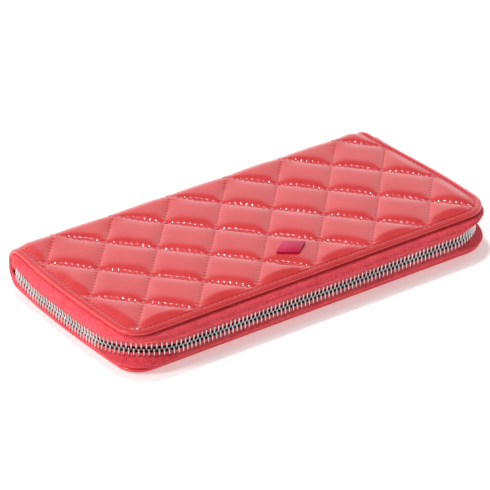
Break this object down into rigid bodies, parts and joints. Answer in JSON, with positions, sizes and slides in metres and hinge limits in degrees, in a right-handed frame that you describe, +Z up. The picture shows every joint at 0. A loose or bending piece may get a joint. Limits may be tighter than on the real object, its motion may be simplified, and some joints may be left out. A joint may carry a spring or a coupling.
{
  "type": "zip around wallet",
  "caption": "Long zip-around wallet in quilted coral patent leather, with a metal zip on three sides, card pockets, side gussets and a zipped coin pocket.",
  "frame": {"origin": "middle of the flat underside of the bottom cover", "axes": "+X along the long side, +Y from the zip front to the spine, +Z up through the covers"},
  "size_m": [0.2015, 0.1016, 0.023],
  "materials": {
    "patent_leather": "patent gloss",
    "lining_leather": "semi-matt",
    "lining_cloth": "woven",
    "zip_tape": "woven",
    "cover_board": "raw",
    "nickel": "polished nickel",
    "badge_enamel": "gloss"
  },
  "bodies": {
    "bottom_cover": {"bottom_cover_leather": "patent_leather", "bottom_cover_board": "cover_board", "bottom_cover_lining": "lining_leather", "lower_card_pocket_1": "lining_leather", "lower_card_pocket_2": "lining_leather", "lower_card_pocket_3": "lining_leather", "lower_zip_tape": "zip_tape", "lower_tooth_row": "nickel", "left_lower_gusset": "lining_cloth", "right_lower_gusset": "lining_cloth", "zip_start_stop": "nickel", "lower_zip_end_stop": "nickel"},
    "spine_leaf": {"spine_leather": "patent_leather", "spine_lining": "lining_leather", "leaf_spine_strip": "lining_cloth", "coin_pocket_lower_wall": "lining_leather", "coin_pocket_upper_wall": "lining_leather", "coin_lower_tape": "zip_tape", "coin_upper_tape": "zip_tape", "coin_lower_tooth_row": "nickel", "coin_upper_tooth_row": "nickel", "coin_left_stop": "nickel", "coin_right_stop": "nickel"},
    "top_cover": {"top_cover_leather": "patent_leather", "top_cover_board": "cover_board", "top_cover_lining": "lining_leather", "upper_card_pocket_1": "lining_leather", "upper_card_pocket_2": "lining_leather", "upper_card_pocket_3": "lining_leather", "upper_zip_tape": "zip_tape", "upper_tooth_row": "nickel", "left_upper_gusset": "lining_cloth", "right_upper_gusset": "lining_cloth", "upper_zip_end_stop": "nickel", "cover_badge": "badge_enamel"},
    "zip_slider": {"zip_slider_body": "nickel", "zip_slider_bail": "nickel"},
    "zip_pull": {"zip_pull_link": "nickel", "zip_pull_tab": "patent_leather"},
    "coin_slider": {"coin_slider_body": "nickel", "coin_slider_bail": "nickel"},
    "coin_pull": {"coin_pull": "nickel"}
  },
  "joints": [
    {"name": "spine_fold", "type": "hinge", "parent": "bottom_cover", "child": "spine_leaf", "pos_m": [0, 0.0458, 0.00147], "axis": [-1, 0, 0], "range_deg": [0, 40], "deforming": ["left_lower_gusset", "right_lower_gusset"]},
    {"name": "cover_fold", "type": "hinge", "parent": "spine_leaf", "child": "top_cover", "pos_m": [0, 0.0458, 0.02053], "axis": [-1, 0, 0], "range_deg": [0, 40], "deforming": ["left_upper_gusset", "right_upper_gusset"]},
    {"name": "zip_slide", "type": "slide", "parent": "bottom_cover", "child": "zip_slider", "axis": [0, -1, 0], "range_m": [0, 0.05]},
    {"name": "zip_pull_swing", "type": "hinge", "parent": "zip_slider", "child": "zip_pull", "pos_m": [0.1013, 0.031, 0.011], "axis": [0, 0, 1], "range_deg": [0, 165]},
    {"name": "coin_slide", "type": "slide", "parent": "spine_leaf", "child": "coin_slider", "axis": [-1, 0, 0], "range_m": [0, 0.15]},
    {"name": "coin_pull_swing", "type": "hinge", "parent": "coin_slider", "child": "coin_pull", "pos_m": [0.076, -0.02995, 0.011], "axis": [0, 0, 1], "range_deg": [0, 165]}
  ],
  "couplings": [
    {"joint": "cover_fold", "follows": "spine_fold", "ratio": 1}
  ]
}
